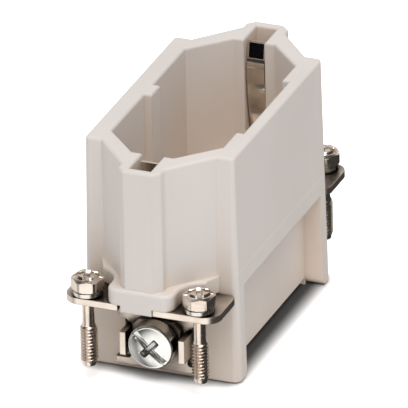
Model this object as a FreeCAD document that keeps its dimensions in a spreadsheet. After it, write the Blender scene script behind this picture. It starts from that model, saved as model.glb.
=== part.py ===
import FreeCAD, Part
import math
import os
import re
import Sketcher

# Heavy duty power connector insert: a deep moulded collar with four power pins, two earth brackets
# and four captive fixing screws on the usual rectangle of 27 x 77.5 mm.
# Millimetres. X is across the insert, Y along it, +Z towards the mating face.
# The origin is the middle of the plan, level with the feet.

doc = FreeCAD.newDocument("connector_insert")

# Driving dimensions

SIZES = {
    # Insulating body: outer form
    "body_width": 36.0,
    "body_length": 55.3,
    "body_height": 56.3,
    "body_corner": 1.0,
    "nose_width": 27.8,
    "nose_reach": 37.5,
    "boss_width": 10.4,
    "boss_reach": 41.3,
    "boss_corner": 1.8,
    "wall_draft": 0.86,
    "rim_round": 0.7,
    "foot_round": 2.4,
    "foot_edge_round": 0.8,
    "collar_corner": 1.2,
    # Insulating body: collar cavity, with its key rib and its polarising recess
    "cavity_width": 26.9,
    "cavity_straight": 44.9,
    "cavity_nose_width": 10.0,
    "cavity_reach": 31.2,
    "slot_width": 5.1,
    "slot_reach": 39.2,
    "rib_width": 5.3,
    "rib_depth": 1.8,
    "recess_length": 28.5,
    "recess_depth": 1.7,
    "ledge_level": 26.5,
    # Insulating body: floor that carries the pins, and the wiring chamber under it
    "well_width": 24.4,
    "well_length": 47.2,
    "well_corner": 2.5,
    "floor_top": 16.0,
    "floor_bottom": 10.0,
    # Insulating body: lower part, flange and lug
    "post_length": 3.7,
    "side_recess": 3.8,
    "side_recess_top": 23.2,
    "panel_lift": 1.7,
    "flange_bottom": 22.7,
    "flange_top": 26.6,
    "flange_root": 14.2,
    "flange_root_reach": 28.4,
    "flange_waist": 12.4,
    "flange_neck": 8.0,
    "flange_neck_reach": 37.9,
    "flange_scoop": 6.2,
    "flange_reach": 42.1,
    "flange_corner": 2.6,
    "flange_round": 0.8,
    "lug_width": 7.6,
    "lug_depth": 2.2,
    "lug_shift": 0.6,
    "lug_gap": 0.8,
    "earth_pocket_width": 17.6,
    "earth_pocket_bottom": 4.4,
    "earth_pocket_reach": 25.2,
    # Earth bracket: one folded sheet
    "sheet": 1.6,
    "plate_bottom": 21.1,
    "plate_width": 37.3,
    "plate_reach": 41.8,
    "plate_corner": 3.6,
    "plate_back_corner": 1.6,
    "plate_back": 28.9,
    "web_width": 21.0,
    "web_back": 28.6,
    "web_bottom": 1.9,
    "web_foot_top": 3.5,
    "web_shoulder": 14.7,
    "web_neck_width": 13.0,
    "bend_inner": 0.8,
    "wing_spread": 15.7,
    "wing_sheet": 1.4,
    "wing_bottom": 6.3,
    "wing_top": 12.0,
    "wing_reach": 34.5,
    # Captive fixing screw and its spring washer
    "fixing_spacing_wide": 27.0,
    "fixing_spacing_long": 77.5,
    "fixing_hole": 3.4,
    "neck_size": 2.8,
    "thread_size": 4.0,
    "thread_top": 14.8,
    "thread_end": 5.6,
    "screw_tip": 4.6,
    "tip_size": 3.0,
    "hex_flats": 7.0,
    "head_height": 3.9,
    "head_shoulder": 3.05,
    "head_crown": 3.0,
    "head_bevel": 0.55,
    "washer_sheet": 1.0,
    "washer_rise": 0.45,
    "washer_pitch": 0.48,
    "washer_outer": 7.0,
    "washer_inner": 4.3,
    "drive_slot": 0.9,
    "drive_depth": 1.5,
    "drive_cross_reach": 2.3,
    # Earth terminal screw and its clamp washer
    "earth_level": 9.7,
    "earth_head_size": 10.8,
    "earth_head_height": 4.9,
    "earth_rim_height": 4.1,
    "earth_thread": 5.0,
    "earth_length": 5.6,
    "earth_head_round": 0.6,
    "earth_slot": 1.3,
    "earth_slot_reach": 4.9,
    "earth_cross_reach": 2.5,
    "earth_slot_depth": 2.0,
    "clamp_sheet": 1.4,
    "clamp_width": 11.6,
    "clamp_height": 9.6,
    "clamp_corner": 1.6,
    # Earth contact spring
    "spring_sheet": 0.5,
    "spring_width": 4.3,
    "spring_foot": 38.4,
    "spring_heel": 35.2,
    "spring_low": 33.2,
    "spring_crest": 31.8,
    "spring_crest_level": 48.9,
    "spring_facet": 32.2,
    "spring_facet_level": 51.1,
    "spring_tip": 33.0,
    "spring_tip_level": 55.3,
    # Power pin and the cone screw inside it
    "pin_spacing_wide": 12.8,
    "pin_spacing_long": 24.0,
    "pin_size": 8.0,
    "pin_root_size": 9.0,
    "pin_tip": 32.0,
    "pin_tip_round": 1.4,
    "pin_hole": 9.3,
    "collar_size": 11.6,
    "collar_hole": 11.9,
    "collar_height": 3.0,
    "barrel_size": 10.2,
    "barrel_mouth": 2.2,
    "barrel_bore": 8.2,
    "barrel_bore_top": 9.4,
    "cone_thread": 4.2,
    "cone_top": 25.0,
    "cone_base": 9.0,
    "cone_tip": 3.6,
    "cone_tip_size": 1.4,
    "cone_hex": 2.5,
    "cone_hex_depth": 3.0,
    # Contact retainer and its screws
    "retainer_sheet": 4.4,
    "retainer_gap": 0.2,
    "retainer_hole": 10.6,
    "retainer_screw_spacing": 40.0,
    "retainer_screw_size": 2.6,
    "retainer_screw_head": 5.0,
    "retainer_screw_length": 7.4,
}

sheet = doc.addObject("Spreadsheet::Sheet", "sizes")
for row, (alias, size) in enumerate(SIZES.items(), start=1):
    sheet.set("A%d" % row, alias)
    sheet.set("B%d" % row, str(size))
    sheet.setAlias("B%d" % row, alias)
doc.recompute()


# Helpers that tie a shape to the sheet


def formula(words):
    """The words with each name of the sheet written in full, as the document's expressions need it."""
    return re.sub(r"[a-z][a-z_]+", lambda m: "sizes." + m[0] if m[0] in SIZES else m[0], str(words))


def size_of(words):
    """The number that a formula gives now."""
    return float(sheet.evalExpression(formula(words)))


def drive(thing, prop, words):
    """Binds one of a thing's sizes to a formula over the sheet."""
    thing.setExpression(prop, formula(words))


def new_body(label):
    body = doc.addObject("PartDesign::Body", label)
    body.Label = label
    return body


def sketch_on(body, name, plane, level="0"):
    """A sketch on one of the body's own origin planes, moved along that plane's normal."""
    sketch = body.newObject("Sketcher::SketchObject", name)
    origin_plane = [f for f in body.Origin.OriginFeatures if f.Role == plane][0]
    sketch.AttachmentSupport = [(origin_plane, "")]
    sketch.MapMode = "FlatFace"
    drive(sketch, "AttachmentOffset.Base.z", level)
    return sketch


def lock(sketch, line, end, x, y):
    """Fixes one end of a line by two formulas."""
    for kind, words in (("DistanceX", x), ("DistanceY", y)):
        number = sketch.addConstraint(Sketcher.Constraint(kind, -1, 1, line, end, size_of(words)))
        drive(sketch, "Constraints[%d]" % number, words)


def bow(start, end, radius):
    """The short arc from start to end. A positive radius turns left on the way, a negative one right."""
    half = (end - start) * 0.5
    left = FreeCAD.Vector(-half.y, half.x, 0).normalize()
    rise = math.sqrt(max(radius**2 - half.Length**2, 0))
    centre = start + half + left * math.copysign(rise, radius)
    first = math.atan2(start.y - centre.y, start.x - centre.x)
    last = math.atan2(end.y - centre.y, end.x - centre.x)
    if radius < 0:
        first, last = last, first
    return Part.ArcOfCircle(Part.Circle(centre, FreeCAD.Vector(0, 0, 1), abs(radius)), first, last)


def outline(sketch, corners, closed=True):
    """Lines and arcs through corners (x, y), each a formula. A third formula is the radius of the
    arc that leads to that corner: it turns left, or right where the radius is negative."""
    stops = corners + corners[:1] if closed else corners
    places = [FreeCAD.Vector(size_of(c[0]), size_of(c[1]), 0) for c in stops]
    runs = []
    for start, end, corner in zip(places, places[1:], stops[1:]):
        if len(corner) == 2:
            runs.append((sketch.addGeometry(Part.LineSegment(start, end)), 1, 2))
            continue
        radius = size_of(corner[2])
        arc = sketch.addGeometry(bow(start, end, radius))
        runs.append((arc, 1, 2) if radius > 0 else (arc, 2, 1))
        number = sketch.addConstraint(Sketcher.Constraint("Radius", arc, abs(radius)))
        drive(sketch, "Constraints[%d]" % number, "abs(%s)" % corner[2])
    followers = runs[1:] + runs[:1] if closed else runs[1:]
    for before, after in zip(runs, followers):
        sketch.addConstraint(
            Sketcher.Constraint("Coincident", before[0], before[2], after[0], after[1])
        )
    for run, corner in zip(runs, stops):
        lock(sketch, run[0], run[1], corner[0], corner[1])
    if not closed:
        lock(sketch, runs[-1][0], runs[-1][2], stops[-1][0], stops[-1][1])


def circle(sketch, x, y, width):
    """A full circle, by its centre and its width."""
    centre = FreeCAD.Vector(size_of(x), size_of(y), 0)
    ring = sketch.addGeometry(Part.Circle(centre, FreeCAD.Vector(0, 0, 1), size_of(width) / 2))
    lock(sketch, ring, 3, x, y)
    number = sketch.addConstraint(Sketcher.Constraint("Radius", ring, size_of(width) / 2))
    drive(sketch, "Constraints[%d]" % number, "(%s) / 2" % width)


def block(sketch, low_x, high_x, low_y, high_y):
    """A plain rectangle."""
    outline(sketch, [(low_x, low_y), (high_x, low_y), (high_x, high_y), (low_x, high_y)])


def rounded_block(sketch, width, length, corner):
    """A rectangle about the origin with round corners."""
    far_x, far_y = "%s / 2" % width, "%s / 2" % length
    near_x, near_y = "(%s - %s)" % (far_x, corner), "(%s - %s)" % (far_y, corner)
    outline(
        sketch,
        [
            ("-" + near_x, "-" + far_y, corner),
            (near_x, "-" + far_y),
            (far_x, "-" + near_y, corner),
            (far_x, near_y),
            (near_x, far_y, corner),
            ("-" + near_x, far_y),
            ("-" + far_x, near_y, corner),
            ("-" + far_x, "-" + near_y),
        ],
    )


def pad(body, sketch, length, backwards=False, both_ways=False):
    feature = body.newObject("PartDesign::Pad", sketch.Name + "_pad")
    feature.Profile = sketch
    drive(feature, "Length", length)
    feature.Reversed = backwards
    if both_ways:
        feature.SideType = "Symmetric"
    return feature


def drafted(feature):
    """Leans a pad's walls out, as a mould's walls lean, in the way that the pad runs."""
    drive(feature, "TaperAngle", "wall_draft")


def pocket(body, sketch, length, backwards=False):
    """Cuts against the sketch's normal, or along it where backwards is set."""
    feature = body.newObject("PartDesign::Pocket", sketch.Name + "_pocket")
    feature.Profile = sketch
    drive(feature, "Length", length)
    feature.Reversed = backwards
    return feature


def turned(body, name, corners):
    """A revolved piece: half its section, as (radius, level) corners, turned about the Z axis."""
    sketch = sketch_on(body, name, "XZ_Plane")
    outline(sketch, corners)
    feature = body.newObject("PartDesign::Revolution", name + "_turned")
    feature.Profile = sketch
    feature.ReferenceAxis = (sketch, ["V_Axis"])
    feature.Angle = 360
    return feature


def fillet(body, base, name, radius, wanted):
    """Rounds each edge of the base for which wanted(edge) is true."""
    doc.recompute()
    edges = ["Edge%d" % n for n, e in enumerate(base.Shape.Edges, start=1) if wanted(e)]
    feature = body.newObject("PartDesign::Fillet", name)
    feature.Base = (base, edges)
    drive(feature, "Radius", radius)
    body.Tip = feature
    return feature


def lies_level(edge, level):
    """Whether an edge lies flat at a level."""
    ends = [v.Z for v in edge.Vertexes] + [edge.CenterOfMass.z]
    return max(abs(z - level) for z in ends) < 0.01


def place(piece, x="0", y="0", z="0", axis=(0, 0, 1), turn=0):
    """Turns a piece about an axis, then moves its origin to three formulas."""
    piece.Placement = FreeCAD.Placement(
        FreeCAD.Vector(size_of(x), size_of(y), size_of(z)),
        FreeCAD.Rotation(FreeCAD.Vector(*axis), turn),
    )
    for name, words in (("x", x), ("y", y), ("z", z)):
        drive(piece, "Placement.Base." + name, words)


pieces = []

# Insulating body: one moulding. Each end is worked out once, on the side that sign gives.


def signed(sign, words):
    return "%d * (%s)" % (sign, words)


def nose_loop(sketch, sign):
    """The bevelled end of the collar, with the boss that holds the earth slot."""
    root, straight = "nose_width / 2", "body_length / 2"
    boss = "boss_width / 2"
    corners = [
        (root, "%s - 4" % straight),
        (root, straight),
        (boss, "nose_reach"),
        (boss, "boss_reach - boss_corner"),
        ("%s - boss_corner" % boss, "boss_reach"),
    ]
    right = [(x, signed(sign, y)) for x, y in corners]
    left = [("-(%s)" % x, signed(sign, y)) for x, y in reversed(corners)]
    outline(sketch, right + left)


FLANGE_WAIST_REACH = (
    "(flange_neck_reach - sqrt(flange_scoop ^ 2 - (flange_neck + flange_scoop - flange_waist) ^ 2))"
)


def flange_loop(sketch, sign):
    """The flange: it leaves the collar, is scooped out round each screw head and bulges round the boss."""
    flat = "flange_reach - flange_corner"
    scoop = "%d * flange_scoop" % -sign
    corner = "%d * flange_corner" % sign
    right = [
        ("flange_root", signed(sign, "body_length / 2 - 4")),
        ("flange_root", signed(sign, "flange_root_reach")),
        ("flange_waist", signed(sign, FLANGE_WAIST_REACH)),
        ("flange_neck", signed(sign, "flange_neck_reach"), scoop),
        ("flange_neck", signed(sign, flat)),
        ("flange_neck - flange_corner", signed(sign, "flange_reach"), corner),
    ]
    left = [
        ("-(flange_neck - flange_corner)", signed(sign, "flange_reach")),
        ("-flange_neck", signed(sign, flat), corner),
        ("-flange_neck", signed(sign, "flange_neck_reach")),
        ("-flange_waist", signed(sign, FLANGE_WAIST_REACH), scoop),
        ("-flange_root", signed(sign, "flange_root_reach")),
        ("-flange_root", signed(sign, "body_length / 2 - 4")),
    ]
    outline(sketch, right + left)


def cavity_outline(sketch):
    """The collar's mouth: straight sides with the key rib on the left and the recess on the right,
    bevelled ends, and an earth slot at each end."""
    side, nose, slot = "cavity_width / 2", "cavity_nose_width / 2", "slot_width / 2"
    right = [
        (slot, "-slot_reach"),
        (slot, "-cavity_reach"),
        (nose, "-cavity_reach"),
        (side, "-cavity_straight / 2"),
        (side, "-recess_length / 2"),
        ("%s + recess_depth" % side, "-recess_length / 2"),
        ("%s + recess_depth" % side, "recess_length / 2"),
        (side, "recess_length / 2"),
        (side, "cavity_straight / 2"),
        (nose, "cavity_reach"),
        (slot, "cavity_reach"),
        (slot, "slot_reach"),
    ]
    left = [
        ("-(%s)" % slot, "slot_reach"),
        ("-(%s)" % slot, "cavity_reach"),
        ("-(%s)" % nose, "cavity_reach"),
        ("-(%s)" % side, "cavity_straight / 2"),
        ("-(%s)" % side, "rib_width / 2"),
        ("-(%s - rib_depth)" % side, "rib_width / 2"),
        ("-(%s - rib_depth)" % side, "-rib_width / 2"),
        ("-(%s)" % side, "-rib_width / 2"),
        ("-(%s)" % side, "-cavity_straight / 2"),
        ("-(%s)" % nose, "-cavity_reach"),
        ("-(%s)" % slot, "-cavity_reach"),
        ("-(%s)" % slot, "-slot_reach"),
    ]
    outline(sketch, right + left)


PIN_PLACES = [(x, y) for y in (-1, 1) for x in (-1, 1)]


def insulating_body():
    body = new_body("insulating_body")

    core = sketch_on(body, "core", "XY_Plane", "body_height")
    rounded_block(core, "body_width", "body_length", "body_corner")
    drafted(pad(body, core, "body_height", backwards=True))

    noses = sketch_on(body, "noses", "XY_Plane", "body_height")
    flanges = sketch_on(body, "flanges", "XY_Plane", "flange_bottom")
    lugs = sketch_on(body, "lugs", "XY_Plane", "plate_bottom")
    for sign in (-1, 1):
        nose_loop(noses, sign)
        flange_loop(flanges, sign)
        near, far = signed(sign, "flange_reach - lug_depth"), signed(sign, "flange_reach")
        low, high = signed(sign, "lug_shift - lug_width / 2"), signed(sign, "lug_shift + lug_width / 2")
        block(lugs, low, high, near, far)
    outer = pad(body, flanges, "flange_top - flange_bottom")
    nose_end, flange_top = size_of("nose_reach"), size_of("flange_top")
    waist = size_of(FLANGE_WAIST_REACH)
    fillet(
        body,
        outer,
        "flange_edge",
        "flange_round",
        lambda e: lies_level(e, flange_top) and abs(e.CenterOfMass.y) > waist,
    )
    pad(body, noses, "body_height - flange_bottom", backwards=True)
    outer = pad(body, lugs, "flange_bottom + 0.5 - plate_bottom")

    def upright_corner(edge):
        """The collar's upright edges beside the boss, above the flange."""
        heights = [v.Z for v in edge.Vertexes]
        tall = max(heights) - min(heights) > 25
        return tall and abs(abs(edge.CenterOfMass.y) - nose_end) < 1

    fillet(body, outer, "collar_corners", "collar_corner", upright_corner)

    mouth = sketch_on(body, "mouth", "XY_Plane", "body_height")
    cavity_outline(mouth)
    pocket(body, mouth, "body_height - ledge_level")

    well = sketch_on(body, "well", "XY_Plane", "ledge_level")
    rounded_block(well, "well_width", "well_length", "well_corner")
    pocket(body, well, "ledge_level - floor_top")

    chamber = sketch_on(body, "chamber", "XY_Plane")
    rounded_block(chamber, "well_width", "well_length", "well_corner")
    pocket(body, chamber, "floor_bottom", backwards=True)

    slots = sketch_on(body, "slots", "XY_Plane", "ledge_level")
    sides = sketch_on(body, "sides", "XY_Plane", "panel_lift")
    earth_pockets = sketch_on(body, "earth_pockets", "XY_Plane", "earth_pocket_bottom")
    half_side = "body_length / 2 - post_length"
    for sign in (-1, 1):
        near, far = signed(sign, "spring_low - 0.6"), signed(sign, "slot_reach")
        block(slots, "-slot_width / 2", "slot_width / 2", near, far)
        wall, outside = signed(sign, "body_width / 2 - side_recess"), signed(sign, "body_width")
        block(sides, wall, outside, "-(%s)" % half_side, half_side)
        near, far = signed(sign, "earth_pocket_reach"), signed(sign, "web_back + 0.4")
        block(earth_pockets, "-earth_pocket_width / 2", "earth_pocket_width / 2", near, far)
    pocket(body, slots, "ledge_level - flange_bottom + 0.01")
    pocket(body, sides, "side_recess_top - panel_lift", backwards=True)
    pocket(body, earth_pockets, "flange_bottom - earth_pocket_bottom", backwards=True)

    underside = sketch_on(body, "underside", "XY_Plane")
    block(underside, "-body_width", "body_width", "-(%s)" % half_side, half_side)
    pocket(body, underside, "panel_lift", backwards=True)

    pin_holes = sketch_on(body, "pin_holes", "XY_Plane", "floor_top")
    collar_holes = sketch_on(body, "collar_holes", "XY_Plane", "floor_bottom")
    screw_holes = sketch_on(body, "screw_holes", "XY_Plane", "floor_bottom")
    for x, y in PIN_PLACES:
        at = (signed(x, "pin_spacing_wide / 2"), signed(y, "pin_spacing_long / 2"))
        circle(pin_holes, *at, "pin_hole")
        circle(collar_holes, *at, "collar_hole")
    for sign in (-1, 1):
        circle(screw_holes, "0", signed(sign, "retainer_screw_spacing / 2"), "retainer_screw_size")
    pocket(body, pin_holes, "floor_top - floor_bottom")
    pocket(body, collar_holes, "collar_height", backwards=True)
    inner = pocket(body, screw_holes, "retainer_screw_length - retainer_sheet + 1", backwards=True)

    top, base = size_of("body_height"), 0
    rounded = fillet(body, inner, "rim", "rim_round", lambda e: lies_level(e, top))
    fillet(body, rounded, "foot_edge", "foot_edge_round", lambda e: lies_level(e, base) and on_outside(e))

    panel = "body_width / 2 - side_recess"
    for name, level, rightwards in (("right_feet", panel, True), ("left_feet", "-(%s)" % panel, False)):
        feet = sketch_on(body, name, "YZ_Plane", level)
        for sign in (-1, 1):
            near, far = signed(sign, half_side), signed(sign, half_side + " + foot_round")
            bend = "%d * foot_round" % sign
            outline(feet, [(near, "foot_round"), (far, "0", bend), (far, "-1"), (near, "-1")])
        pocket(body, feet, "side_recess + 2", backwards=rightwards)
    return body


def on_outside(edge):
    """Whether a flat edge at the foot is on the moulding's outer side."""
    x, y = abs(edge.CenterOfMass.x), abs(edge.CenterOfMass.y)
    return x > size_of("body_width / 2") - 1 or y > size_of("body_length / 2") - 1


pieces.append(insulating_body())


# Contact retainer: the plate under the floor that keeps the pins in, with its two screws


def contact_retainer():
    body = new_body("contact_retainer")
    plate = sketch_on(body, "retainer_plate", "XY_Plane")
    width, length = "(well_width - 2 * retainer_gap)", "(well_length - 2 * retainer_gap)"
    rounded_block(plate, width, length, "(well_corner - retainer_gap)")
    pad(body, plate, "retainer_sheet")
    holes = sketch_on(body, "wire_holes", "XY_Plane")
    for x, y in PIN_PLACES:
        at = (signed(x, "pin_spacing_wide / 2"), signed(y, "pin_spacing_long / 2"))
        circle(holes, *at, "retainer_hole")
    for sign in (-1, 1):
        circle(holes, "0", signed(sign, "retainer_screw_spacing / 2"), "retainer_screw_size + 0.4")
    pocket(body, holes, "retainer_sheet", backwards=True)
    heads = sketch_on(body, "head_recesses", "XY_Plane")
    for sign in (-1, 1):
        circle(heads, "0", signed(sign, "retainer_screw_spacing / 2"), "retainer_screw_head + 0.6")
    pocket(body, heads, "2.2", backwards=True)
    place(body, z="floor_bottom - retainer_sheet")
    return body


def retainer_screw(number, sign):
    """A small cylinder head screw, head down. A ring round its middle stands for the drive's recess."""
    body = new_body("retainer_screw_%d" % number)
    head, shank = "retainer_screw_head / 2", "retainer_screw_size / 2"
    turned(
        body,
        "screw_profile",
        [
            ("0", "0"),
            ("1.1", "0"),
            ("1.1", "0.9"),
            ("1.3", "0.9"),
            ("1.3", "0"),
            ("%s - 0.4" % head, "0"),
            (head, "0.4", "0.4"),
            (head, "2.1"),
            (shank, "2.1"),
            (shank, "retainer_screw_length - 0.8"),
            ("0.3", "retainer_screw_length"),
            ("0", "retainer_screw_length"),
        ],
    )
    level = "floor_bottom - retainer_sheet + 0.1"
    place(body, y=signed(sign, "retainer_screw_spacing / 2"), z=level)
    return body


pieces.append(contact_retainer())
for number, sign in ((1, -1), (2, 1)):
    pieces.append(retainer_screw(number, sign))


# Power pins: turned, with a collar held under the floor, and a barrel that takes the wire


def power_pin(number, x, y):
    body = new_body("power_pin_%d" % number)
    pin, root = "pin_size / 2", "pin_root_size / 2"
    collar, barrel = "collar_size / 2", "barrel_size / 2"
    turned(
        body,
        "pin_profile",
        [
            ("cone_thread / 2 + 0.02", "barrel_bore_top"),
            ("cone_thread / 2 + 0.02", "pin_tip"),
            ("%s - pin_tip_round" % pin, "pin_tip"),
            (pin, "pin_tip - pin_tip_round", "-pin_tip_round"),
            (pin, "floor_top + 0.4"),
            (root, "floor_top + 0.4"),
            (root, "floor_bottom + collar_height"),
            (collar, "floor_bottom + collar_height"),
            (collar, "floor_bottom"),
            (barrel, "floor_bottom"),
            (barrel, "barrel_mouth + 0.4"),
            ("%s - 0.4" % barrel, "barrel_mouth"),
            ("barrel_bore / 2", "barrel_mouth"),
            ("barrel_bore / 2", "barrel_bore_top - 1.2"),
        ],
    )
    place(body, signed(x, "pin_spacing_wide / 2"), signed(y, "pin_spacing_long / 2"))
    return body


def cone_screw(number, x, y):
    """The axial screw inside a pin: a hexagon socket on top, and a cone that spreads the strands."""
    body = new_body("cone_screw_%d" % number)
    turned(
        body,
        "cone_profile",
        [
            ("0", "cone_tip"),
            ("cone_tip_size / 2", "cone_tip + 0.3"),
            ("cone_thread / 2", "cone_base"),
            ("cone_thread / 2", "cone_top - 0.3"),
            ("cone_thread / 2 - 0.3", "cone_top"),
            ("0", "cone_top"),
        ],
    )
    socket = sketch_on(body, "socket", "XY_Plane", "cone_top")
    hexagon(socket, "cone_hex")
    pocket(body, socket, "cone_hex_depth")
    place(body, signed(x, "pin_spacing_wide / 2"), signed(y, "pin_spacing_long / 2"))
    return body


def hexagon(sketch, flats):
    """A regular hexagon about the origin, with two of its flats facing front and back."""
    turns = [(1, 0), (0.5, 1), (-0.5, 1), (-1, 0), (-0.5, -1), (0.5, -1)]
    outline(sketch, [("%s / sqrt(3) * %s" % (flats, x), "%s / 2 * %s" % (flats, y)) for x, y in turns])


for number, (x, y) in enumerate(PIN_PLACES, start=1):
    pieces.append(power_pin(number, x, y))
for number, (x, y) in enumerate(PIN_PLACES, start=1):
    pieces.append(cone_screw(number, x, y))


# Earth brackets: one sheet each, folded down at the body. All end pieces are drawn for the end on
# the -Y side and turned half round for the other.

END_TURNS = {1: 0, 2: 180}


def bracket_plate(sketch):
    """The plate seen from above: ears at both sides, a notch for the lug, and the fold line."""
    side, back, corner = "plate_width / 2", "-plate_back", "plate_corner"
    fold = "-(web_back + bend_inner + sheet)"
    front, tip = "-plate_reach", "-(plate_reach - plate_corner)"
    notch_end = "-(flange_reach - lug_depth - 0.2)"
    notch_right = "lug_width / 2 - lug_shift + 0.1"
    notch_left = "-(lug_width / 2 + lug_shift + lug_gap)"
    right = [
        (notch_right, notch_end),
        (notch_right, front),
        ("%s - %s" % (side, corner), front),
        (side, tip, corner),
        (side, "%s - plate_back_corner" % back),
        ("%s - plate_back_corner" % side, back, "plate_back_corner"),
        ("web_width / 2 + 0.6", back),
        ("web_width / 2 + 0.6", "%s - 0.6" % fold),
        ("web_width / 2", "%s - 0.6" % fold),
        ("web_width / 2", fold),
    ]
    left = [
        ("-web_width / 2", fold),
        ("-web_width / 2", "%s - 0.6" % fold),
        ("-(web_width / 2 + 0.6)", "%s - 0.6" % fold),
        ("-(web_width / 2 + 0.6)", back),
        ("-(%s - plate_back_corner)" % side, back),
        ("-(%s)" % side, "%s - plate_back_corner" % back, "plate_back_corner"),
        ("-(%s)" % side, tip),
        ("-(%s - %s)" % (side, corner), front, corner),
        (notch_left, front),
        (notch_left, notch_end),
    ]
    outline(sketch, right + left)


def bracket_web(sketch):
    """The web seen from the front: shoulders, a neck that carries the wings, and a wide foot."""
    wide, neck, wings = "web_width / 2", "web_neck_width / 2", "wing_spread / 2"
    right = [
        (wide, "plate_bottom - bend_inner"),
        (wide, "web_shoulder"),
        ("%s - 0.6" % wide, "web_shoulder - 0.6"),
        ("%s - 0.2" % wings, "web_shoulder - 1.5"),
        (neck, "wing_top"),
        (wings, "wing_top"),
        (wings, "wing_bottom"),
        ("%s - 1" % wings, "wing_bottom - 0.5"),
        ("%s - 1" % wings, "web_foot_top + 0.5"),
        ("%s - 0.5" % wings, "web_foot_top"),
        (wide, "web_foot_top"),
        (wide, "web_bottom"),
    ]
    outline(sketch, right + [("-(%s)" % x, z) for x, z in reversed(right)])


def pe_bracket(number):
    body = new_body("pe_bracket_%d" % number)
    plate = sketch_on(body, "plate", "XY_Plane", "plate_bottom")
    bracket_plate(plate)
    pad(body, plate, "sheet")

    web = sketch_on(body, "web", "XZ_Plane", "web_back")
    bracket_web(web)
    pad(body, web, "sheet")

    fold = sketch_on(body, "fold", "YZ_Plane")
    inner = "-(web_back + sheet)"
    outer_radius = "(bend_inner + sheet)"
    top = "plate_bottom + sheet"
    outline(
        fold,
        [
            ("-web_back", "%s - %s" % (top, outer_radius)),
            ("-web_back - %s" % outer_radius, top, outer_radius),
            ("-web_back - %s" % outer_radius, "plate_bottom"),
            (inner, "plate_bottom - bend_inner", "-bend_inner"),
        ],
    )
    pad(body, fold, "web_width", both_ways=True)

    wings = sketch_on(body, "wings", "XY_Plane", "wing_bottom")
    for sign in (-1, 1):
        near, far = signed(sign, "wing_spread / 2 - wing_sheet"), signed(sign, "wing_spread / 2")
        block(wings, near, far, "-wing_reach", "-(web_back + 0.4)")
    pad(body, wings, "wing_top - wing_bottom")

    fixing_holes = sketch_on(body, "fixing_holes", "XY_Plane", "plate_bottom")
    for sign in (-1, 1):
        across = signed(sign, "fixing_spacing_wide / 2")
        circle(fixing_holes, across, "-fixing_spacing_long / 2", "fixing_hole")
    pocket(body, fixing_holes, "sheet", backwards=True)
    earth_hole = sketch_on(body, "earth_hole", "XZ_Plane", "web_back")
    circle(earth_hole, "0", "earth_level", "earth_thread + 0.04")
    drilled = pocket(body, earth_hole, "sheet", backwards=True)

    def wing_fold(edge):
        """The outer upright edge of each wing, where the sheet turns."""
        middle = edge.CenterOfMass
        between = size_of("wing_bottom") < middle.z < size_of("wing_top")
        on_side = abs(abs(middle.x) - size_of("wing_spread / 2")) < 0.01
        at_back = middle.y > -size_of("web_back + 0.1")
        return between and on_side and at_back and not lies_level(edge, middle.z)

    fillet(body, drilled, "wing_folds", "0.9", wing_fold)
    place(body, turn=END_TURNS[number])
    return body


def end_place(piece, number, reach, level, axis=(1, 0, 0), tilt=90):
    """Stands a piece that was drawn upright on its side, so that its top looks out of the insert's end."""
    outward = FreeCAD.Rotation(FreeCAD.Vector(0, 0, 1), END_TURNS[number])
    lying = FreeCAD.Rotation(FreeCAD.Vector(*axis), tilt)
    side = -1 if number == 1 else 1
    spot = FreeCAD.Vector(0, side * size_of(reach), size_of(level))
    piece.Placement = FreeCAD.Placement(spot, outward.multiply(lying))
    drive(piece, "Placement.Base.y", signed(side, reach))
    drive(piece, "Placement.Base.z", level)


def cross_and_slot(sketch, long_reach, cross_reach, width):
    """The combined drive: a slot right across the head, and the shorter arm of the cross."""
    half = "%s / 2" % width
    outline(
        sketch,
        [
            ("-%s" % long_reach, "-" + half),
            ("-" + half, "-" + half),
            ("-" + half, "-%s" % cross_reach),
            (half, "-%s" % cross_reach),
            (half, "-" + half),
            (long_reach, "-" + half),
            (long_reach, half),
            (half, half),
            (half, cross_reach),
            ("-" + half, cross_reach),
            ("-" + half, half),
            ("-%s" % long_reach, half),
        ],
    )


EARTH_SCREW_TURNS = {1: -43, 2: 29}


def pe_screw(number):
    """The earth screw: a domed pan head on a shank. Drawn with its bearing face at level 0."""
    body = new_body("pe_screw_%d" % number)
    head, shank = "earth_head_size / 2", "earth_thread / 2"
    rim, dome = "(%s - earth_head_round)" % head, "(earth_head_height - earth_rim_height)"
    turned(
        body,
        "earth_screw_profile",
        [
            ("0", "-earth_length"),
            ("%s - 0.5" % shank, "-earth_length"),
            (shank, "-earth_length + 0.5"),
            (shank, "0"),
            (head, "0"),
            (head, "earth_rim_height - earth_head_round"),
            (rim, "earth_rim_height", "earth_head_round"),
            ("0", "earth_head_height", "(%s ^ 2 + %s ^ 2) / (2 * %s)" % (rim, dome, dome)),
        ],
    )
    recess = sketch_on(body, "drive_recess", "XY_Plane", "earth_head_height")
    turn = FreeCAD.Rotation(FreeCAD.Vector(0, 0, 1), EARTH_SCREW_TURNS[number])
    recess.AttachmentOffset = FreeCAD.Placement(FreeCAD.Vector(0, 0, 0), turn)
    cross_and_slot(recess, "earth_slot_reach", "earth_cross_reach", "earth_slot")
    pocket(body, recess, "earth_slot_depth")
    end_place(body, number, "web_back + sheet + clamp_sheet", "earth_level")
    return body


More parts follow.
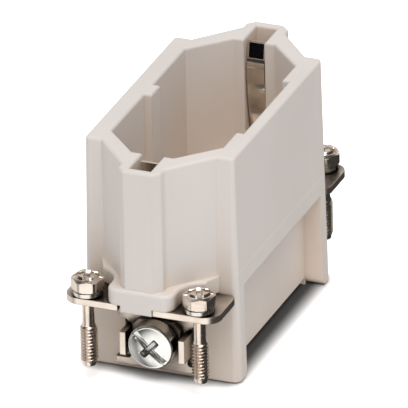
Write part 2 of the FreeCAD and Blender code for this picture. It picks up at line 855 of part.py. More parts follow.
def pe_clamp(number):
    """The square washer that presses the wire on the web."""
    body = new_body("pe_clamp_%d" % number)
    sketch = sketch_on(body, "clamp", "XY_Plane")
    side, upper = "clamp_width / 2", "clamp_height / 2"
    corners = [
        ("%s - clamp_corner" % side, "-" + upper),
        (side, "-(%s - clamp_corner)" % upper),
        (side, "%s - clamp_corner" % upper),
        ("%s - clamp_corner" % side, upper),
    ]
    outline(sketch, corners + [("-(%s)" % x, z) for x, z in reversed(corners)])
    pad(body, sketch, "clamp_sheet")
    hole = sketch_on(body, "clamp_hole", "XY_Plane")
    circle(hole, "0", "0", "earth_thread + 0.3")
    pocket(body, hole, "clamp_sheet", backwards=True)
    end_place(body, number, "web_back + sheet", "earth_level")
    return body


def pe_spring(number):
    """The earth contact: a strip that stands on the plate in the slot and bows towards the cavity."""
    label = "pe_spring_%d" % number
    path = doc.addObject("Sketcher::SketchObject", label + "_path")
    path.Placement = FreeCAD.Placement(
        FreeCAD.Vector(0, 0, 0), FreeCAD.Rotation(FreeCAD.Vector(1, 1, 1), 120)
    )
    floor = "plate_bottom + sheet"
    outline(
        path,
        [
            ("-spring_foot", floor),
            ("-(spring_heel + 0.6)", floor),
            ("-spring_heel", "%s + 0.6" % floor, "0.6"),
            ("-spring_low", "%s + 12" % floor, "-60"),
            ("-spring_crest", "spring_crest_level", "60"),
            ("-spring_facet", "spring_facet_level", "2.6"),
            ("-spring_tip", "spring_tip_level"),
        ],
        closed=False,
    )
    strip = doc.addObject("Part::Offset2D", label + "_strip")
    strip.Source = path
    strip.Mode = "Skin"
    strip.Fill = True
    drive(strip, "Value", "-spring_sheet")
    spring = doc.addObject("Part::Extrusion", label)
    spring.Label = label
    spring.Base = strip
    spring.DirMode = "Custom"
    spring.Dir = FreeCAD.Vector(1, 0, 0)
    spring.Symmetric = True
    spring.Solid = True
    drive(spring, "LengthFwd", "spring_width")
    place(spring, turn=END_TURNS[number])
    return spring


for make in (pe_bracket, pe_clamp, pe_screw, pe_spring):
    for number in END_TURNS:
        pieces.append(make(number))


# Captive fixing screws with their spring washers. The thin neck is loose in the plate's hole.

FIXING_PLACES = {1: (-1, -1), 2: (1, -1), 3: (-1, 1), 4: (1, 1)}
FIXING_TURNS = {1: 16, 2: 25, 3: 40, 4: 5}


def fixing_screw(number):
    """Drawn upright, with the foot of its head at level 0."""
    body = new_body("fixing_screw_%d" % number)
    seat = "plate_bottom + sheet + washer_sheet + washer_rise + 0.01"
    neck, thread = "neck_size / 2", "thread_size / 2"
    tip = "tip_size / 2"
    turned(
        body,
        "shank",
        [
            ("0", "screw_tip - (%s)" % seat),
            ("%s - 0.3" % tip, "screw_tip - (%s)" % seat),
            (tip, "screw_tip + 0.3 - (%s)" % seat),
            (tip, "thread_end - 0.3 - (%s)" % seat),
            (thread, "thread_end + 0.2 - (%s)" % seat),
            (thread, "thread_top - 0.4 - (%s)" % seat),
            ("%s + 0.1" % neck, "thread_top - (%s)" % seat),
            (neck, "thread_top + 0.3 - (%s)" % seat),
            (neck, "0.5"),
            ("0", "0.5"),
        ],
    )
    head = sketch_on(body, "hex_head", "XY_Plane")
    hexagon(head, "hex_flats")
    pad(body, head, "head_height")

    bevel = sketch_on(body, "bevel", "XZ_Plane")
    corner, crown = "(hex_flats / sqrt(3) + 0.3)", "(head_height - head_shoulder)"
    bow_radius = "(head_crown ^ 2 + %s ^ 2) / (2 * %s)" % (crown, crown)
    outline(
        bevel,
        [
            ("head_crown", "head_shoulder", "-(%s)" % bow_radius),
            (corner, "head_shoulder - (%s - head_crown) * head_bevel" % corner),
            (corner, "head_height + 1"),
            ("0", "head_height + 1"),
            ("0", "head_height"),
        ],
    )
    groove = body.newObject("PartDesign::Groove", "bevel_groove")
    groove.Profile = bevel
    groove.ReferenceAxis = (bevel, ["V_Axis"])
    groove.Angle = 360

    recess = sketch_on(body, "drive_recess", "XY_Plane", "head_height")
    cross_and_slot(recess, "hex_flats", "drive_cross_reach", "drive_slot")
    pocket(body, recess, "drive_depth")
    x, y = FIXING_PLACES[number]
    place(
        body,
        signed(x, "fixing_spacing_wide / 2"),
        signed(y, "fixing_spacing_long / 2"),
        seat,
        turn=FIXING_TURNS[number],
    )
    return body


def spring_washer(number):
    """A split ring that rises like one turn of a coil, less the gap between its ends."""
    body = new_body("spring_washer_%d" % number)
    wire = sketch_on(body, "wire", "XZ_Plane")
    block(wire, "washer_inner / 2", "washer_outer / 2", "0", "washer_sheet")
    coil = body.newObject("PartDesign::AdditiveHelix", "coil")
    coil.Profile = wire
    coil.ReferenceAxis = (wire, ["V_Axis"])
    coil.Mode = "pitch-height-angle"
    drive(coil, "Pitch", "washer_pitch")
    drive(coil, "Height", "washer_rise")
    x, y = FIXING_PLACES[number]
    place(
        body,
        signed(x, "fixing_spacing_wide / 2"),
        signed(y, "fixing_spacing_long / 2"),
        "plate_bottom + sheet",
        turn=FIXING_TURNS[number],
    )
    return body


for make in (fixing_screw, spring_washer):
    for number in FIXING_PLACES:
        pieces.append(make(number))


# What is written: every object has to be sound first

doc.recompute()
for item in doc.Objects:
    if {"Invalid", "Error"} & set(item.State):
        raise RuntimeError("%s failed: %s" % (item.Name, item.State))
os.makedirs("parts", exist_ok=True)
for piece in pieces:
    if piece.Shape.isNull() or not piece.Shape.isValid():
        raise RuntimeError("%s has no sound shape" % piece.Label)
    piece.Shape.exportStep("parts/%s.step" % piece.Label)
    print(piece.Label, round(piece.Shape.Volume, 1), piece.Shape.BoundBox)
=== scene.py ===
import bmesh
import bpy
import numpy as np
from mathutils import Matrix, Vector


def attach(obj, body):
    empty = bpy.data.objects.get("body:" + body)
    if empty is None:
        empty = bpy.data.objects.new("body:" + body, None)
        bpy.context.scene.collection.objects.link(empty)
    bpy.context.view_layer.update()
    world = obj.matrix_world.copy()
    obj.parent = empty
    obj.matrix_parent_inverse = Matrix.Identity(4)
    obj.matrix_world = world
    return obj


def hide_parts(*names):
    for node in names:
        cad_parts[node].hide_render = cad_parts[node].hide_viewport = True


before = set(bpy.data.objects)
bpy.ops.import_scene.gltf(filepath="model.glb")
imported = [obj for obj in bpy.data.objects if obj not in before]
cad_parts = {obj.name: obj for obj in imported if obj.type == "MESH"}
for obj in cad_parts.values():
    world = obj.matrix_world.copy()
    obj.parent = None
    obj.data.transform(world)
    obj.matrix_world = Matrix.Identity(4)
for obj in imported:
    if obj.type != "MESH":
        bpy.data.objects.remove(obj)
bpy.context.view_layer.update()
MM = 0.001


# The photograph's view: a long lens that looks down on the near end of the insert from its right,
# so the upright edges stay upright. The distance is far enough for lines that hardly converge.

CAMERA_PLACE = (1.25908, -3.10782, 1.67908)
CAMERA_RIGHT = (0.9302, 0.36653, -0.01973)
CAMERA_UP = (-0.1454, 0.41729, 0.89707)
CAMERA_BACK = (0.33704, -0.83158, 0.44145)
CAMERA_LENS = 1453.5

lens = bpy.data.cameras.new("photo_view")
lens.sensor_width = 36
lens.lens = CAMERA_LENS
lens.clip_start, lens.clip_end = 0.1, 10
camera = bpy.data.objects.new("photo_view", lens)
bpy.context.scene.collection.objects.link(camera)
turn = Matrix((CAMERA_RIGHT, CAMERA_UP, CAMERA_BACK)).transposed()
camera.matrix_world = Matrix.LocRotScale(CAMERA_PLACE, turn.to_quaternion(), None)
bpy.context.scene.camera = camera


# Insulating body: one injection moulding in a light warm grey, glass filled plastic. Its skin is satin,
# with a faint orange peel, fine grain and slow shifts of tone where the melt flowed.

def add_node(tree, kind, sockets=(), **settings):
    """A node of one kind. Settings are its own properties. Sockets are pairs of an input and what
    goes in: a number or colour is set there, and another node's output is linked."""
    made = tree.nodes.new("ShaderNode" + kind)
    for name, value in settings.items():
        setattr(made, name, value)
    for place, value in sockets:
        if isinstance(value, bpy.types.NodeSocket):
            tree.links.new(value, made.inputs[place])
        else:
            made.inputs[place].default_value = value
    return made


def blended(tree, share, low, high):
    """Two colours mixed by a share: the low one at 0, the high one at 1."""
    return add_node(tree, "Mix", [(0, share), (6, low), (7, high)], data_type="RGBA").outputs[2]


def worked(tree, operation, *values):
    """A number worked out from one or two others."""
    return add_node(tree, "Math", list(enumerate(values)), operation=operation).outputs[0]


def effect(name, inputs, output):
    """A shader node group with named number inputs and one number as output, and its two end nodes."""
    tree = bpy.data.node_groups.new(name, "ShaderNodeTree")
    for title, default in inputs:
        made = tree.interface.new_socket(title, in_out="INPUT", socket_type="NodeSocketFloat")
        made.default_value = default
    tree.interface.new_socket(output, in_out="OUTPUT", socket_type="NodeSocketFloat")
    return tree, tree.nodes.new("NodeGroupInput").outputs, tree.nodes.new("NodeGroupOutput").inputs


def grain_effect():
    """Height of a fine grain over a slower wave: two noises of different scale, added by their shares."""
    inputs = [("Fine scale", 3000), ("Slow scale", 400), ("Slow share", 0.5)]
    tree, given, result = effect("grain", inputs, "Height")
    place = add_node(tree, "TexCoord").outputs["Object"]
    fine = add_node(tree, "TexNoise", [("Vector", place), ("Scale", given["Fine scale"]), ("Detail", 2)])
    slow = add_node(tree, "TexNoise", [("Vector", place), ("Scale", given["Slow scale"]), ("Detail", 1)])
    shares = [(0, given["Slow share"]), (2, fine.outputs[0]), (3, slow.outputs[0])]
    mixed = add_node(tree, "Mix", shares, data_type="FLOAT")
    tree.links.new(mixed.outputs[0], result[0])
    return tree


def blotch_effect():
    """A mask from 0 to 1 that drifts slowly over the surface: one stretched noise, pushed apart."""
    tree, given, result = effect("blotches", [("Scale", 60), ("Stretch", 1)], "Mask")
    place = add_node(tree, "TexCoord").outputs["Object"]
    factors = add_node(tree, "CombineXYZ", [(0, 1), (1, 1), (2, given["Stretch"])])
    scaled = add_node(tree, "VectorMath", [(0, place), (1, factors.outputs[0])], operation="MULTIPLY")
    noise = add_node(
        tree, "TexNoise", [("Vector", scaled.outputs[0]), ("Scale", given["Scale"]), ("Detail", 3)]
    )
    spread = add_node(
        tree, "MapRange", [(0, noise.outputs[0]), (1, 0.32), (2, 0.68)], interpolation_type="SMOOTHSTEP"
    )
    tree.links.new(spread.outputs[0], result[0])
    return tree


def crevice_effect():
    """A mask that is 1 in the open and 0 deep in a crevice: the open share of the sky within a reach,
    pushed apart between two limits."""
    tree, given, result = effect("crevices", [("Reach", 0.005), ("Shut", 0.1), ("Open", 0.9)], "Mask")
    openness = add_node(tree, "AmbientOcclusion", [("Distance", given["Reach"])], samples=8)
    mask = add_node(
        tree,
        "MapRange",
        [(0, openness.outputs["AO"]), (1, given["Shut"]), (2, given["Open"])],
        interpolation_type="SMOOTHSTEP",
    )
    tree.links.new(mask.outputs[0], result[0])
    return tree


grain, blotches, crevices = grain_effect(), blotch_effect(), crevice_effect()


def grouped(tree, group, **values):
    """One of the effects placed in a material, with its own values. Returns its output."""
    made = add_node(tree, "Group", node_tree=group)
    for name, value in values.items():
        made.inputs[name.replace("_", " ")].default_value = value
    return made.outputs[0]


def finish_of(name):
    """A new material, its node tree and its principled shader."""
    made = bpy.data.materials.new(name)
    made.use_nodes = True
    return made, made.node_tree, made.node_tree.nodes["Principled BSDF"]


def softened(tree, shader, height, strength, distance, edge):
    """The shader's normal: edges eased over a radius, under the relief of a height."""
    eased = add_node(tree, "Bevel", [("Radius", edge)], samples=6)
    bump = add_node(
        tree,
        "Bump",
        [("Strength", strength), ("Distance", distance), ("Height", height), ("Normal", eased.outputs[0])],
    )
    tree.links.new(bump.outputs[0], shader.inputs["Normal"])


def moulded(name, light, dark, warm, rough, edge):
    """A moulded plastic: two close tones that drift into each other, painted warm bounce light where the
    walls light one another, and painted shade deep in gaps, under a satin skin with fine grain."""
    made, tree, shader = finish_of(name)
    drift = grouped(tree, blotches, Scale=45, Stretch=0.35)
    tone = blended(tree, drift, dark, light)
    # Painted bounce light: the tone turns warm where the walls are shut in, as if lit by one another.
    bounce_light_share = grouped(tree, crevices, Reach=0.03, Shut=0.2, Open=0.9)
    bounce_lit_tone = blended(tree, bounce_light_share, warm, tone)
    # Painted shade: the colour goes dark deep in narrow gaps.
    gap_shade = grouped(tree, crevices, Reach=0.006, Shut=0.08, Open=0.4)
    deep = tuple(0.22 * value for value in warm[:3]) + (1,)
    tree.links.new(blended(tree, gap_shade, deep, bounce_lit_tone), shader.inputs["Base Color"])
    speckle = grouped(tree, grain, Fine_scale=2600, Slow_scale=350, Slow_share=0.45)
    sheen = add_node(
        tree, "MapRange", [(0, speckle), (1, 0.3), (2, 0.7), (3, rough - 0.05), (4, rough + 0.06)]
    )
    tree.links.new(sheen.outputs[0], shader.inputs["Roughness"])
    shader.inputs["Specular IOR Level"].default_value = 0.38
    softened(tree, shader, speckle, 0.16, 0.00006, edge)
    return made


def dress(node, finish):
    """Gives a carried-over solid its finish."""
    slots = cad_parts[node].data.materials
    slots.clear()
    slots.append(finish)


housing_plastic = moulded(
    "housing_plastic",
    light=(0.775, 0.735, 0.71, 1),
    dark=(0.745, 0.70, 0.675, 1),
    warm=(0.78, 0.67, 0.575, 1),
    rough=0.42,
    edge=0.00035,
)


def parting_line_highlight(finish, level, half_width, beyond):
    """Where the mould's halves met: a pale hair line round the long walls, a painted highlight along the
    parting line. It is a band about a level, kept to where the wall is farther out than a distance."""
    tree, shader = finish.node_tree, finish.node_tree.nodes["Principled BSDF"]
    place = add_node(tree, "SeparateXYZ", [(0, add_node(tree, "TexCoord").outputs["Object"])])
    away = worked(tree, "ABSOLUTE", worked(tree, "SUBTRACT", place.outputs["Z"], level))
    band = add_node(
        tree, "MapRange", [(0, away), (1, 0.4 * half_width), (2, half_width), (3, 0.55), (4, 0)]
    )
    outer = worked(tree, "GREATER_THAN", worked(tree, "ABSOLUTE", place.outputs["X"]), beyond)
    seam_highlight = worked(tree, "MULTIPLY", band.outputs[0], outer)
    tone = shader.inputs["Base Color"].links[0].from_socket
    tree.links.new(blended(tree, seam_highlight, tone, (0.93, 0.90, 0.88, 1)), shader.inputs["Base Color"])


parting_line_highlight(housing_plastic, level=0.0275, half_width=0.00016, beyond=0.0178)
dress("insulating_body", housing_plastic)


# Contact retainer: the darker moulded plate under the floor, which keeps the pins from falling out. Two
# small nickel plated screws hold it to the body.

retainer_plastic = moulded(
    "retainer_plastic",
    light=(0.62, 0.595, 0.57, 1),
    dark=(0.57, 0.545, 0.52, 1),
    warm=(0.6, 0.54, 0.49, 1),
    rough=0.45,
    edge=0.0003,
)
dress("contact_retainer", retainer_plastic)


# Power pins and their cone screws: turned on a lathe. The pins are copper alloy with a silver skin,
# the screws inside are bare brass.

def tool_mark_effect():
    """Height of fine marks left along one way: a noise that is scaled far more across than along."""
    inputs = [("Across X", 1), ("Across Y", 1), ("Across Z", 1), ("Scale", 100)]
    tree, given, result = effect("tool_marks", inputs, "Height")
    place = add_node(tree, "TexCoord").outputs["Object"]
    factors = add_node(tree, "CombineXYZ", [(n, given[n]) for n in range(3)])
    scaled = add_node(tree, "VectorMath", [(0, place), (1, factors.outputs[0])], operation="MULTIPLY")
    noise = add_node(
        tree, "TexNoise", [("Vector", scaled.outputs[0]), ("Scale", given["Scale"]), ("Detail", 4)]
    )
    tree.links.new(noise.outputs[0], result[0])
    return tree


tool_marks = tool_mark_effect()


def plated(name, light, dark, deep, smooth, rough, across, edge, reach=0.002, shut=0.1):
    """A plated metal: two tones that drift, a third one painted as shade deep in crevices, tool marks along
    one way, and uneven gloss."""
    made, tree, shader = finish_of(name)
    shader.inputs["Metallic"].default_value = 1
    drift = grouped(tree, blotches, Scale=160, Stretch=1)
    tone = blended(tree, drift, dark, light)
    # Painted shade: the third tone darkens the colour where the surface is shut in.
    crevice = grouped(tree, crevices, Reach=reach, Shut=shut, Open=shut + 0.55)
    tree.links.new(blended(tree, crevice, deep, tone), shader.inputs["Base Color"])
    marks = grouped(tree, tool_marks, Across_X=across[0], Across_Y=across[1], Across_Z=across[2], Scale=400)
    gloss = add_node(tree, "MapRange", [(0, marks), (1, 0.25), (2, 0.75), (3, smooth), (4, rough)])
    tree.links.new(gloss.outputs[0], shader.inputs["Roughness"])
    softened(tree, shader, marks, 0.1, 0.00003, edge)
    return made


contact_silver = plated(
    "contact_silver",
    light=(0.90, 0.89, 0.86, 1),
    dark=(0.80, 0.78, 0.73, 1),
    deep=(0.3, 0.28, 0.25, 1),
    smooth=0.16,
    rough=0.34,
    across=(1, 1, 14),
    edge=0.0002,
)
cone_brass = plated(
    "cone_brass",
    light=(0.82, 0.66, 0.38, 1),
    dark=(0.70, 0.54, 0.29, 1),
    deep=(0.2, 0.14, 0.07, 1),
    smooth=0.2,
    rough=0.4,
    across=(1, 1, 14),
    edge=0.0001,
)
for number in (1, 2, 3, 4):
    dress("power_pin_%d" % number, contact_silver)
    dress("cone_screw_%d" % number, cone_brass)


# Earth brackets and clamp washers: cut and folded from steel sheet, then nickel plated, with a warm tint
#  and a faint grain that runs across the insert. The brackets are painted near black as shade deep in
#  their crevices. The clamps are given a darker finish than the metal has, as painted shade, because
#  the photograph shows the gaps next to the earth screws nearly black.

bracket_nickel = plated(
    "bracket_nickel",
    light=(0.84, 0.77, 0.69, 1),
    dark=(0.72, 0.64, 0.56, 1),
    deep=(0.04, 0.03, 0.02, 1),
    smooth=0.24,
    rough=0.4,
    across=(1, 9, 9),
    edge=0.00025,
    reach=0.006,
    shut=0.42,
)
# Painted shade: a darkened copy of the nickel for the clamps.
clamp_shaded_nickel = plated(
    "clamp_shaded_nickel",
    light=(0.34, 0.29, 0.25, 1),
    dark=(0.24, 0.20, 0.17, 1),
    deep=(0.03, 0.02, 0.02, 1),
    smooth=0.24,
    rough=0.4,
    across=(1, 9, 9),
    edge=0.0002,
    reach=0.004,
    shut=0.3,
)
for number in (1, 2):
    dress("pe_bracket_%d" % number, bracket_nickel)
    dress("pe_clamp_%d" % number, clamp_shaded_nickel)


# Earth screws: cold headed steel with a bright, cool plating. A domed pan head has a slot right across
# it and a shorter cross arm, and stands on the clamp washer. Sizes of screws are in millimetres.

def spread(low, high, count, pinch=()):
    """Numbers from low to high in even steps, with each of the pinched places made a pair, a little
    below and above it, so that a wall there stands steep."""
    even = np.linspace(low, high, count)
    pairs = np.array([[p - 0.06, p + 0.03] for p in pinch]).ravel()
    kept = even[(np.abs(even[:, None] - pairs[None, :]) > 0.035).all(axis=1)] if len(pairs) else even
    return np.unique(np.concatenate([kept, pairs]))


def head_plan(rim, split, core, fine, outer):
    """Plan of a screw head, as X and Y over a square grid. The middle is a straight grid out to core.
    The arms carry its lines straight on to the rim. Each corner is a Coons patch: the sum of the
    blends between its opposite sides, less the blend of its four corners. Rim gives the radius at an
    angle, and split the angle where the rim's two sides of a corner meet."""
    share = np.linspace(0, 1, outer + 1)[1:]

    def reach(across):
        """How far a line at this offset runs along X, and how far along Y, to meet the rim."""
        along_x, along_y = np.full_like(across, rim(0.0)), np.full_like(across, rim(np.pi / 2))
        for _ in range(40):
            along_x = rim(np.arctan2(across, along_x)) * np.cos(np.arctan2(across, along_x))
            along_y = rim(np.arctan2(along_y, across)) * np.sin(np.arctan2(along_y, across))
        return along_x, along_y

    half = fine[fine >= -1e-9]
    far_x, far_y = reach(half)
    size = len(half) + outer
    x, y = np.zeros((size, size)), np.zeros((size, size))
    inner = len(half)
    x[:inner, :inner], y[:inner, :inner] = half[None, :], half[:, None]
    x[:inner, inner:] = core + share[None, :] * (far_x[:, None] - core)
    y[:inner, inner:] = half[:, None]
    x[inner:, :inner] = half[None, :]
    y[inner:, :inner] = core + share[:, None] * (far_y[None, :] - core)
    first, last = np.arctan2(core, far_x[-1]), np.arctan2(far_y[-1], core)
    lower, upper = first + share * (split - first), last + share * (split - last)
    s, t = share[None, :], share[:, None]
    for grid, trig, low, side_x, side_y in (
        (x, np.cos, core, far_x[-1], core),
        (y, np.sin, core, core, far_y[-1]),
    ):
        right, top = (rim(lower) * trig(lower))[:, None], (rim(upper) * trig(upper))[None, :]
        left = low + t * (side_y - low)
        bottom = low + s * (side_x - low)
        corners = (1 - s) * (1 - t) * low + s * (1 - t) * side_x + (1 - s) * t * side_y
        corners = corners + s * t * rim(split) * trig(split)
        grid[inner:, inner:] = (1 - s) * left + s * right + (1 - t) * bottom + t * top - corners
    x = np.concatenate([x[:, :0:-1] * -1, x], axis=1)
    x = np.concatenate([x[:0:-1], x], axis=0)
    y = np.concatenate([y[:, :0:-1], y], axis=1)
    y = np.concatenate([y[:0:-1] * -1, y], axis=0)
    return x, y


def wall(distance, width):
    """0 to 1 across a wall of this width about distance 0, eased at both ends."""
    share = np.clip(distance / width + 0.5, 0, 1)
    return share * share * (3 - 2 * share)


def rim_of(grid):
    """The outermost points of a square grid, once round against the clock."""
    return np.concatenate([grid[0, :-1], grid[:-1, -1], grid[-1, :0:-1], grid[:0:-1, 0]])


def closed_piece(name, top, rings, pole, finish):
    """A closed mesh: a square grid of top points, rings of points that follow its rim, and a pole."""
    rows, columns = top.shape[:2]
    index = np.arange(rows * columns).reshape(rows, columns)
    cells = np.stack([index[:-1, :-1], index[:-1, 1:], index[1:, 1:], index[1:, :-1]], axis=-1)
    quads = [cells.reshape(-1, 4)]
    loop = rim_of(index)
    points = [top.reshape(-1, 3)]
    count = rows * columns
    for ring in rings:
        points.append(ring)
        following = count + np.arange(len(loop))
        quads.append(np.stack([loop, following, np.roll(following, -1), np.roll(loop, -1)], axis=-1))
        loop, count = following, count + len(ring)
    points.append(np.array([pole]))
    fan = np.stack([loop, np.full_like(loop, count), np.roll(loop, -1)], axis=-1)
    mesh = bpy.data.meshes.new(name)
    faces = [q for block in quads for q in block.tolist()] + fan.tolist()
    mesh.from_pydata((np.concatenate(points) * MM).tolist(), [], faces)
    return finished(name, mesh, finish)


def finished(name, mesh, finish):
    """The mesh with its doubles merged and its faces outwards, smooth but for its sharp edges, where it
    turns by more than an angle in radians."""
    sharp_from = 0.6
    shape = bmesh.new()
    shape.from_mesh(mesh)
    bmesh.ops.remove_doubles(shape, verts=shape.verts, dist=2e-7)
    bmesh.ops.recalc_face_normals(shape, faces=shape.faces)
    for face in shape.faces:
        face.smooth = True
    for edge in shape.edges:
        edge.smooth = len(edge.link_faces) == 2 and edge.calc_face_angle(0) < sharp_from
    shape.to_mesh(mesh)
    shape.free()
    mesh.materials.append(finish)
    made = bpy.data.objects.new(name, mesh)
    bpy.context.scene.collection.objects.link(made)
    return made


def ring_at(angles, radius, level):
    """A ring of points round the axis. The radius and the level are numbers, or one for each angle."""
    full = np.ones_like(angles)
    return np.stack([radius * np.cos(angles), radius * np.sin(angles), level * full], axis=-1)


def threaded(angles, levels, core, crest, pitch, start, end):
    """Rings of a right-handed thread. Where a point's level, in pitches, less its share of a turn
    is whole, it is at the crest, half-way between at the core, and the thread runs out at its ends."""
    rings = []
    for level in levels:
        phase = np.mod(level / pitch - angles / (2 * np.pi), 1)
        ridge = 1 - np.clip((np.abs(phase - 0.5) * 2 - 0.12) / 0.72, 0, 1)
        ridge = ridge * ridge * (3 - 2 * ridge) * 0.35 + ridge * 0.65
        fade = np.clip((level - start) / pitch, 0, 1) * np.clip((end - level) / pitch, 0, 1)
        rings.append(ring_at(angles, core + (crest - core) * ridge * fade, level))
    return rings


PITCH = 0.8

EARTH_HEAD = 5.4
EARTH_RIM_HEIGHT = 4.1
EARTH_HEAD_HEIGHT = 4.88
EARTH_EASE = 0.6
EARTH_SLOT_HALF = 0.65
EARTH_SLOT_DEPTH = 1.7
EARTH_CROSS_HALF = 2.5
EARTH_CROSS_DEPTH = 2.6
EARTH_CORE = 1.5
EARTH_THREAD_CORE, EARTH_THREAD_CREST = 2.1, 2.5
EARTH_TIP = -5.6
EARTH_SEAT = 31.6
EARTH_LEVEL = 9.7


def earth_screw(number, turned):
    """The top is a shallow dome with an eased rim. The slot and the cross arm go down from it with
    eased walls, and their floors rise towards their ends."""
    lines = spread(-EARTH_CORE, EARTH_CORE, 15, (-EARTH_SLOT_HALF, EARTH_SLOT_HALF))
    inner = EARTH_HEAD - EARTH_EASE
    x, y = head_plan(lambda a: inner + 0 * a, np.pi / 4, EARTH_CORE, lines, 16)
    far = np.hypot(x, y)
    dome = EARTH_HEAD_HEIGHT - (EARTH_HEAD_HEIGHT - EARTH_RIM_HEIGHT) * (far / inner) ** 2
    slot_floor = EARTH_HEAD_HEIGHT - EARTH_SLOT_DEPTH + 0.03 * x**2
    cross_floor = EARTH_HEAD_HEIGHT - EARTH_CROSS_DEPTH + 0.12 * y**2
    in_slot = 1 - wall(np.abs(y) - EARTH_SLOT_HALF, 0.16)
    in_cross = (1 - wall(np.abs(x) - EARTH_SLOT_HALF, 0.16)) * (1 - wall(np.abs(y) - EARTH_CROSS_HALF, 0.3))
    height = np.minimum(dome, dome + (slot_floor - dome) * in_slot)
    height = np.minimum(height, dome + (cross_floor - dome) * in_cross)
    top = np.stack([x, y, height], axis=-1)
    angles = np.arctan2(rim_of(y), rim_of(x))
    edge_height = rim_of(height)
    rings = []
    for turn_share in np.linspace(0.15, 1, 6):
        bend = turn_share * np.pi / 2
        out = inner + EARTH_EASE * np.sin(bend)
        rings.append(ring_at(angles, out, edge_height - EARTH_EASE * (1 - np.cos(bend)) * turn_share**0.5))
    rings.append(ring_at(angles, EARTH_HEAD, 0.35))
    rings.append(ring_at(angles, EARTH_HEAD - 0.25, 0.0))
    rings.append(ring_at(angles, EARTH_THREAD_CREST, 0.0))
    levels = np.arange(-0.2, EARTH_TIP + 0.3, -0.08)
    rings += threaded(
        angles, levels, EARTH_THREAD_CORE, EARTH_THREAD_CREST, PITCH, EARTH_TIP + 0.2, 0.0
    )
    rings.append(ring_at(angles, EARTH_THREAD_CORE - 0.2, EARTH_TIP))
    cos, sin = np.cos(turned), np.sin(turned)
    side = -1 if number == 1 else 1

    def stand(points):
        """Turns the points about the screw's own axis, then lays them down to look out of the end."""
        across = points[..., 0] * cos - points[..., 1] * sin
        upward = points[..., 0] * sin + points[..., 1] * cos
        along = EARTH_SEAT + points[..., 2]
        return np.stack([-side * across, side * along, EARTH_LEVEL + upward], axis=-1)

    pole = stand(np.array([[0.0, 0.0, EARTH_TIP]]))[0]
    name = "earth_screw_%d" % number
    made = closed_piece(name, stand(top), [stand(ring) for ring in rings], pole, earth_chrome)
    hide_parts("pe_screw_%d" % number)
    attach(made, "insert")


earth_chrome = plated(
    "earth_screw_chrome",
    light=(0.84, 0.85, 0.84, 1),
    dark=(0.66, 0.67, 0.66, 1),
    deep=(0.05, 0.05, 0.05, 1),
    smooth=0.08,
    rough=0.22,
    across=(6, 1, 6),
    edge=0.0001,
)
earth_screw(1, -0.75)
earth_screw(2, 0.5)


# Earth contact springs: strips of hard copper alloy, nickel plated and bright, bent to a bow that bears
# on the mating earth contact. Each stands on its bracket in the slot at the end of the collar.

def painted_reflection_end(finish, low, high, half_width):
    """A painted reflection: a dark tone for the polished end of the strip, which in the photograph mirrors
    the dark inside of the collar. It lies on the face that looks to the middle of the insert, between two
    levels, and leaves a bright line at each edge."""
    tree, shader = finish.node_tree, finish.node_tree.nodes["Principled BSDF"]
    place = add_node(tree, "SeparateXYZ", [(0, add_node(tree, "TexCoord").outputs["Object"])])
    facing = add_node(tree, "SeparateXYZ", [(0, add_node(tree, "NewGeometry").outputs["True Normal"])])
    inward = worked(tree, "MULTIPLY", place.outputs["Y"], facing.outputs["Y"])
    aside = worked(tree, "ABSOLUTE", place.outputs["X"])
    mask = worked(tree, "LESS_THAN", inward, 0.0)
    for value, limit, side in (
        (place.outputs["Z"], low, "GREATER_THAN"),
        (place.outputs["Z"], high, "LESS_THAN"),
        (aside, half_width, "LESS_THAN"),
    ):
        mask = worked(tree, "MULTIPLY", mask, worked(tree, side, value, limit))
    tone = shader.inputs["Base Color"].links[0].from_socket
    tree.links.new(blended(tree, mask, tone, (0.012, 0.012, 0.016, 1)), shader.inputs["Base Color"])


spring_nickel = plated(
    "spring_nickel",
    light=(0.82, 0.77, 0.70, 1),
    dark=(0.68, 0.62, 0.54, 1),
    deep=(0.1, 0.08, 0.06, 1),
    smooth=0.08,
    rough=0.2,
    across=(9, 1, 1),
    edge=0.00015,
)
# Painted reflection: the strip's inward end is coloured dark where it would mirror the collar's dark inside.
painted_reflection_end(spring_nickel, low=0.0513, high=0.0549, half_width=0.0018)
for number in (1, 2):
    dress("pe_spring_%d" % number, spring_nickel)


# Captive fixing screws: cold headed and rolled steel, nickel plated. The thin neck is what keeps each in
#  its bracket. Rolling leaves the thread a little rough, with a coppery tint and painted shade down in its
#  grooves.

HEAD_FOOT = 24.16
HEAD_SHOULDER = 3.05
HEAD_HEIGHT = 3.88
CROWN = 2.8
HEX_HALF = 3.5
CORNER_REACH = 3.8
FIXING_SLOT_HALF = 0.58
FIXING_SLOT_DEPTH = 1.3
FIXING_CROSS_HALF = 2.7
FIXING_CROSS_DEPTH = 1.9
FIXING_CORE = 1.2
NECK = 1.4
THREAD_CORE, THREAD_CREST = 1.5, 2.0
THREAD_TOP, THREAD_END, SCREW_TIP = 15.0, 5.9, 4.9
FIXING_TURNS = {1: 16, 2: 25, 3: 40, 4: 5}


def hexagon_rim(angle):
    """Radius of a hexagon at an angle, with a corner on the X axis, flats facing Y, and its corners
    turned off round."""
    folded = np.mod(angle + 1e-12, np.pi / 3) - np.pi / 6
    return np.minimum(HEX_HALF / np.cos(folded), CORNER_REACH)


